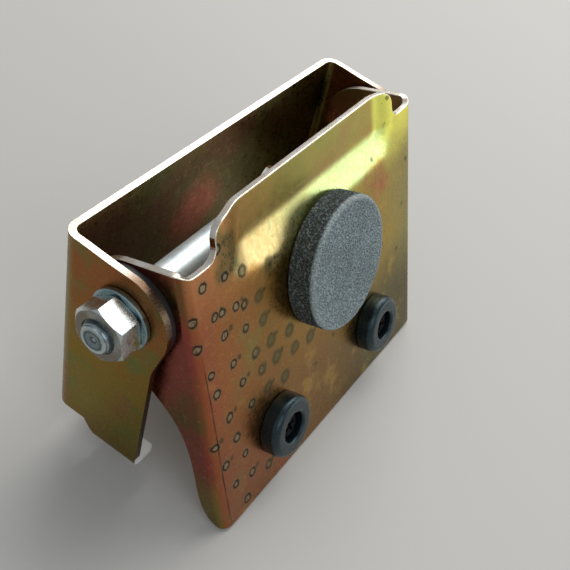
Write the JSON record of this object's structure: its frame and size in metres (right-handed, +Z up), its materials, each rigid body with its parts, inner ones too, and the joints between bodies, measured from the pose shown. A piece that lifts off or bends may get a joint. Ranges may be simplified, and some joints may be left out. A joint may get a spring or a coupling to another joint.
{
  "type": "hinged buffer bracket",
  "caption": "Hinged sheet-steel stop bracket: a rear bracket with ears and a swinging front plate that carries a foam pad and rubber buffers.",
  "frame": {"origin": "on the rear mounting face, at mid width, level with the pivot axis", "axes": "+X along the pivot axis with the nut on the -X side, +Y out of the rear mounting face, away from the front plate, +Z up along the rear wall"},
  "size_m": [0.1288, 0.0573, 0.0814],
  "materials": {
    "zinc_yellow": "yellow-chromated zinc plate, iridescent, satin",
    "zinc_bright": "clear zinc plate, satin",
    "bolt_steel": "zinc-plated steel, dulled",
    "black_oxide": "black-oxide steel, matt",
    "black_nylon": "moulded nylon, matt",
    "black_rubber": "moulded rubber, semi-matt",
    "grey_foam": "open-cell foam, matt",
    "adhesive": "double-sided tape"
  },
  "bodies": {
    "bracket": {"rear_bracket": "zinc_yellow", "pivot_tube": "zinc_bright", "pivot_bolt": "bolt_steel", "pivot_nut": "zinc_bright", "nut_washer": "zinc_bright", "head_washer": "zinc_bright"},
    "plate": {"front_plate": "zinc_yellow", "pivot_bush_left": "black_nylon", "pivot_bush_right": "black_nylon", "foam_pad": "grey_foam", "pad_adhesive": "adhesive", "buffer_left": "black_rubber", "buffer_insert_left": "black_oxide", "buffer_screw_left": "black_oxide", "buffer_washer_left": "zinc_bright", "buffer_nut_left": "zinc_bright", "buffer_right": "black_rubber", "buffer_insert_right": "black_oxide", "buffer_screw_right": "black_oxide", "buffer_washer_right": "zinc_bright", "buffer_nut_right": "zinc_bright"}
  },
  "joints": [
    {"name": "plate_hinge", "type": "hinge", "parent": "bracket", "child": "plate", "pos_m": [0, -0.019, 0], "axis": [1, 0, 0], "range_deg": [-60, 17.5]}
  ]
}
